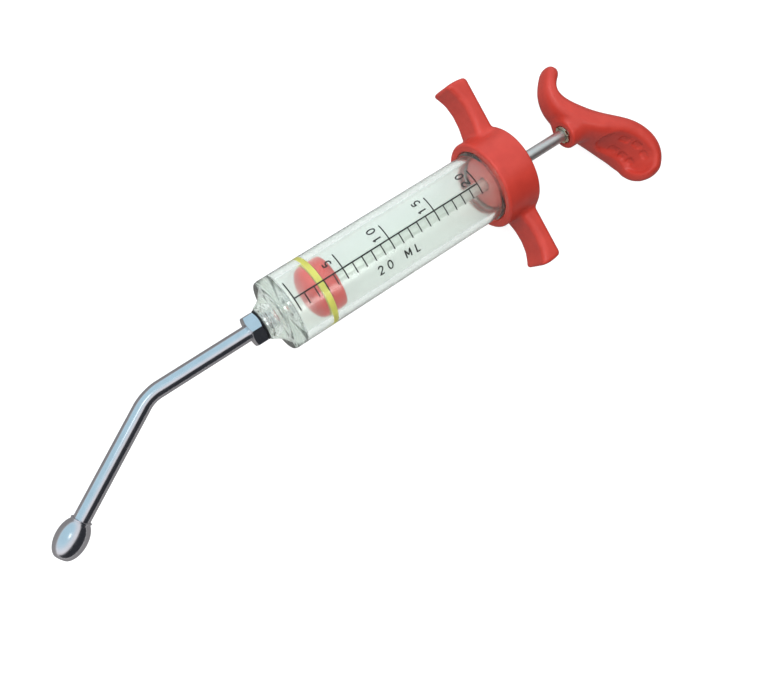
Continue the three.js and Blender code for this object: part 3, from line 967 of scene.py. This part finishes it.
def guide_piece():
    hole = ROD_RADIUS + 0.05
    return turned("rod_bush", [
        (GUIDE_START + GAP, hole, 0.15),
        (GUIDE_START + GAP, GUIDE_RADIUS, 0.2),
        (CAP_END - GAP, GUIDE_RADIUS, 0.3),
        (CAP_END - GAP, hole, 0.25),
    ], 80)


finish_piece(cap_piece(), RED, "cap", "end_cap")
finish_piece(gasket_piece(), WHITE, "cap_seat", "cap_gasket")
finish_piece(guide_piece(), STEEL, "cap", "rod_guide")


# ---- handle ------------------------------------------------------------------------------------------------

def spline_through(rows, per_span=24):
    """Smooth points through the rows, a centripetal Catmull-Rom curve on their first two numbers."""
    first = 2 * rows[0] - rows[1]
    last = 2 * rows[-1] - rows[-2]
    rows = np.vstack([first, rows, last])
    result = []
    for i in range(1, len(rows) - 2):
        p = rows[i - 1:i + 3]
        knots = np.concatenate([[0], np.cumsum(np.linalg.norm(np.diff(p[:, :2], axis=0), axis=1) ** 0.5)])
        for t in np.linspace(knots[1], knots[2], per_span, endpoint=i == len(rows) - 3):
            a = [
                (p[k] * (knots[k + 1] - t) + p[k + 1] * (t - knots[k])) / (knots[k + 1] - knots[k])
                for k in range(3)
            ]
            b = [
                (a[k] * (knots[k + 2] - t) + a[k + 1] * (t - knots[k])) / (knots[k + 2] - knots[k])
                for k in range(2)
            ]
            result.append((b[0] * (knots[2] - t) + b[1] * (t - knots[1])) / (knots[2] - knots[1]))
    return np.array(result)


def evened(rows, window=51):
    """The rows averaged with their neighbours, with the two ends kept in place."""
    half = window // 2
    padded = np.pad(rows, ((half, half), (0, 0)), mode="reflect", reflect_type="odd")
    weights = np.hanning(window + 2)[1:-1]
    weights /= weights.sum()
    return np.stack([np.convolve(column, weights, mode="valid") for column in padded.T], axis=1)


HANDLE_LINE = evened(spline_through(HANDLE_SECTIONS))
HANDLE_STEPS = np.linalg.norm(np.diff(HANDLE_LINE[:, :2], axis=0), axis=1)
HANDLE_LENGTHS = np.concatenate([[0], np.cumsum(HANDLE_STEPS)])
HANDLE_LENGTH = HANDLE_LENGTHS[-1]
HANDLE_TANGENTS = np.gradient(HANDLE_LINE[:, :2], axis=0)
HANDLE_TANGENTS /= np.linalg.norm(HANDLE_TANGENTS, axis=1)[:, None]

# Pockets moulded into the finger side of the lobe: mm along the handle, mm across, half length, half width.
POCKETS = [
    (41.0, -1.4, 1.9, 1.2),
    (41.0, 4.6, 1.9, 1.2),
    (46.2, -1.8, 1.7, 1.3),
    (46.2, 5.2, 1.7, 1.3),
    (51.0, -1.4, 1.6, 1.2),
    (51.0, 4.6, 1.6, 1.2),
]


def handle_place(p):
    """Distance along the handle, offset towards its finger side, and section sizes, for points in mm."""
    along = np.empty(len(p))
    offset = np.empty(len(p))
    sizes = np.empty((len(p), 2))
    for start in range(0, len(p), 20000):
        part = p[start:start + 20000, :2]
        squared = ((part[:, None, :] - HANDLE_LINE[None, :, :2]) ** 2).sum(-1)
        nearest = squared.argmin(1)
        apart = part - HANDLE_LINE[nearest, :2]
        tangent = HANDLE_TANGENTS[nearest]
        ahead = (apart * tangent).sum(1)
        along[start:start + 20000] = HANDLE_LENGTHS[nearest] + ahead
        offset[start:start + 20000] = -apart[:, 0] * tangent[:, 1] + apart[:, 1] * tangent[:, 0]
    for k in range(2):
        sizes[:, k] = np.interp(along, HANDLE_LENGTHS, HANDLE_LINE[:, 2 + k])
    return along, -offset, sizes


def handle_distance(p):
    z = p[:, 2]
    radius = np.hypot(p[:, 1], p[:, 2])
    along, finger, sizes = handle_place(p)
    share = np.clip((along - TWIST_FROM) / (TWIST_TO - TWIST_FROM), 0, 1)
    twist = HANDLE_TWIST * share * share * (3 - 2 * share)
    finger, z = finger * np.cos(twist) + z * np.sin(twist), z * np.cos(twist) - finger * np.sin(twist)
    past = np.maximum(-along, along - HANDLE_LENGTH)
    ending = np.clip(1 + past / 3.2, 0, 1.2)
    shrink = np.sqrt(np.maximum(1 - ending ** 2 * 0.6, 0.05))
    thick, wide = sizes[:, 0] / 2 * shrink, sizes[:, 1] / 2 * shrink
    power = HANDLE_ROUNDNESS
    level = ((np.abs(finger) / thick) ** power + (np.abs(z) / wide) ** power) ** (1 / power)
    bar = (level - 1) * np.minimum(thick, wide)
    bar = blend_max(bar, past - 0.8, 1.2)
    boss = round_box(
        p[:, 0], radius, HANDLE_FACE, HANDLE_FACE + 7, -HANDLE_BOSS_RADIUS, HANDLE_BOSS_RADIUS, 0.8)
    body = blend_min(bar, boss, 2.0)
    past_middle = np.maximum(np.abs(along - SCOOP_MIDDLE) - SCOOP_HALF_LENGTH, 0)
    recess = np.hypot(past_middle, (z - SCOOP_ACROSS) * 0.88) - SCOOP_RADIUS
    body = blend_max(body, -blend_max(recess, thick - SCOOP_DEPTH - finger, 1.6), 1.0)
    for middle, across, half_length, half_width in POCKETS:
        pocket = round_box(
            along - middle, z - across, -half_length, half_length, -half_width, half_width, 0.9)
        body = blend_max(body, -blend_max(pocket, thick - POCKET_DEPTH - finger, 0.8), 0.6)
    socket = round_box(
        p[:, 0], radius, HANDLE_FACE - 9, HANDLE_FACE + INSERT_LENGTH + GAP,
        -INSERT_RADIUS - 0.1, INSERT_RADIUS + 0.1, 0.05)
    return blend_max(body, -socket, 0.25)


def handle_piece():
    low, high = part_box("handle")
    low = (np.array(low) - np.array(START)) / MM - 1.53
    high = (np.array(high) - np.array(START)) / MM + 1.5
    points, faces = surface_net(handle_distance, low, high, 0.27)
    return make_object("palm_handle", points, faces, None)


def insert_piece():
    """The insert the rod screws into, with key notches in its face; its bore is drawn plain, without a
    thread.
    """
    face = HANDLE_FACE - 0.4

    def distance(p):
        x, y, z = p.T
        radius = np.hypot(y, z)
        body = round_box(x, radius, face, HANDLE_FACE + INSERT_LENGTH, -INSERT_RADIUS, INSERT_RADIUS, 0.25)
        body = blend_max(body, ROD_RADIUS + 0.12 - radius, 0.1)
        for a, b in ((y, z), (z, y)):
            notch = round_box(a, np.abs(b), -0.75, 0.75, INSERT_RADIUS - 0.75, INSERT_RADIUS + 1, 0.1)
            body = blend_max(body, -np.maximum(notch, x - face - 1.0), 0.12)
        return body

    low = (face - 0.41, -INSERT_RADIUS - 0.4, -INSERT_RADIUS - 0.4)
    high = (HANDLE_FACE + INSERT_LENGTH + 0.4, INSERT_RADIUS + 0.4, INSERT_RADIUS + 0.4)
    points, faces = surface_net(distance, low, high, 0.14)
    return make_object("rod_insert", points, faces, None)


finish_piece(handle_piece(), RED, "plunger", "handle")
finish_piece(insert_piece(), NICKEL, "plunger", "handle_insert")


# ---- floor, light and camera -------------------------------------------------------------------------------

def seen_directly(tree):
    """1 for what is seen by the eye or through something clear, 0 in a reflection or as light."""
    path = tree.nodes.new("ShaderNodeLightPath")
    either = tree.nodes.new("ShaderNodeMath")
    either.operation = "MAXIMUM"
    tree.links.new(path.outputs["Is Camera Ray"], either.inputs[0])
    tree.links.new(path.outputs["Is Transmission Ray"], either.inputs[1])
    return either.outputs[0]


def floor():
    mesh = bpy.data.meshes.new("floor")
    half = 4.0
    corners = [(-half, -half, 0), (half, -half, 0), (half, half, 0), (-half, half, 0)]
    mesh.from_pydata(corners, [], [(0, 1, 2, 3)])
    plane = bpy.data.objects.new("floor", mesh)
    plane.location.z = min(cad_low.z, 0) - 0.0002
    bpy.context.scene.collection.objects.link(plane)
    finish = Finish("floor_paper")
    finish.base(finish.ramp(finish.noise(30, 3), 0.3, 0.7, (0.34, 0.34, 0.34), (0.36, 0.36, 0.36)))
    finish.set(Roughness=0.9, Emission_Color=(1, 1, 1, 1))
    glow = finish.tree.nodes.new("ShaderNodeMapRange")
    glow.inputs["To Min"].default_value = 0.25
    glow.inputs["To Max"].default_value = 0.85
    finish.link(seen_directly(finish.tree), glow.inputs["Value"])
    finish.link(glow.outputs[0], finish.shader.inputs["Emission Strength"])
    finish.darker_in_reflections((1.0, 0.95, 0.95), near=0.27, far=0.8)
    mesh.materials.append(finish.material)


def soft_box(name, place, aim, size, watts, colour=(1, 1, 1), in_reflections=True):
    light = bpy.data.lights.new(name, "AREA")
    light.shape = "RECTANGLE"
    light.size, light.size_y = size
    light.energy = watts
    light.color = colour
    lamp = bpy.data.objects.new(name, light)
    lamp.visible_glossy = in_reflections
    lamp.location = START + Vector(place)
    direction = START + Vector(aim) - lamp.location
    lamp.rotation_euler = direction.to_track_quat("-Z", "Y").to_euler()
    bpy.context.scene.collection.objects.link(lamp)


def studio_world():
    """Pale on the side of the key light and dark on the other, which gives polished metal its dark stripe."""
    world = bpy.data.worlds.new("studio")
    world.use_nodes = True
    tree = world.node_tree
    tree.nodes.clear()
    output = tree.nodes.new("ShaderNodeOutputWorld")
    shown = tree.nodes.new("ShaderNodeBackground")
    around = tree.nodes.new("ShaderNodeBackground")
    mix = tree.nodes.new("ShaderNodeMixShader")
    coordinates = tree.nodes.new("ShaderNodeTexCoord")
    dot = tree.nodes.new("ShaderNodeVectorMath")
    ramp = tree.nodes.new("ShaderNodeValToRGB")
    dot.operation = "DOT_PRODUCT"
    dot.inputs[1].default_value = (-0.30, 0.76, 0.58)
    stops = ramp.color_ramp
    stops.elements[0].position = 0.10
    stops.elements[0].color = (0.035, 0.036, 0.042, 1)
    stops.elements[1].position = 1.0
    stops.elements[1].color = (0.55, 0.78, 0.90, 1)
    between = (
        (0.26, (0.92, 0.88, 0.90, 1)),
        (0.5, (0.88, 0.90, 0.95, 1)),
        (0.8, (0.60, 0.82, 0.94, 1)),
    )
    for position, colour in between:
        stops.elements.new(position).color = colour
    shown.inputs["Color"].default_value = (1, 1, 1, 1)
    around.inputs["Strength"].default_value = 0.9
    tree.links.new(coordinates.outputs["Generated"], dot.inputs[0])
    tree.links.new(dot.outputs["Value"], ramp.inputs["Fac"])
    tree.links.new(ramp.outputs["Color"], around.inputs["Color"])
    tree.links.new(seen_directly(tree), mix.inputs[0])
    tree.links.new(around.outputs[0], mix.inputs[1])
    tree.links.new(shown.outputs[0], mix.inputs[2])
    tree.links.new(mix.outputs[0], output.inputs["Surface"])
    bpy.context.scene.world = world


def camera():
    ahead = Vector((math.cos(VIEW_HEADING), math.sin(VIEW_HEADING), 0))
    down = Vector((0, 0, -1))
    forward = ahead * math.sin(VIEW_LEAN) + down * math.cos(VIEW_LEAN)
    right = ahead * math.cos(VIEW_LEAN) - down * math.sin(VIEW_LEAN)
    up = right.cross(forward)
    data = bpy.data.cameras.new("camera")
    data.sensor_width = 36.0
    data.lens = VIEW_LENS
    data.clip_start = 0.005
    data.clip_end = 20
    eye = bpy.data.objects.new("camera", data)
    turn = Matrix((right, up, -forward)).transposed().to_4x4()
    place = START + (Vector((*VIEW_AIM, 0)) - forward * VIEW_DISTANCE) * MM
    eye.matrix_world = Matrix.Translation(place) @ turn
    bpy.context.scene.collection.objects.link(eye)
    bpy.context.scene.camera = eye


floor()
studio_world()
soft_box("key", (-0.28, 0.42, 0.60), (0.03, 0, 0), (0.55, 0.55), 5.0, in_reflections=False)
soft_box("fill", (0.05, -0.30, 0.75), (0.03, 0, 0), (0.30, 0.30), 1.5, in_reflections=False)
soft_box("glint", (-0.16, 0.22, 0.62), (-0.02, 0, 0), (0.16, 0.16), 0.08, (1, 0.94, 0.87))
camera()
bpy.context.scene.view_settings.view_transform = "Standard"
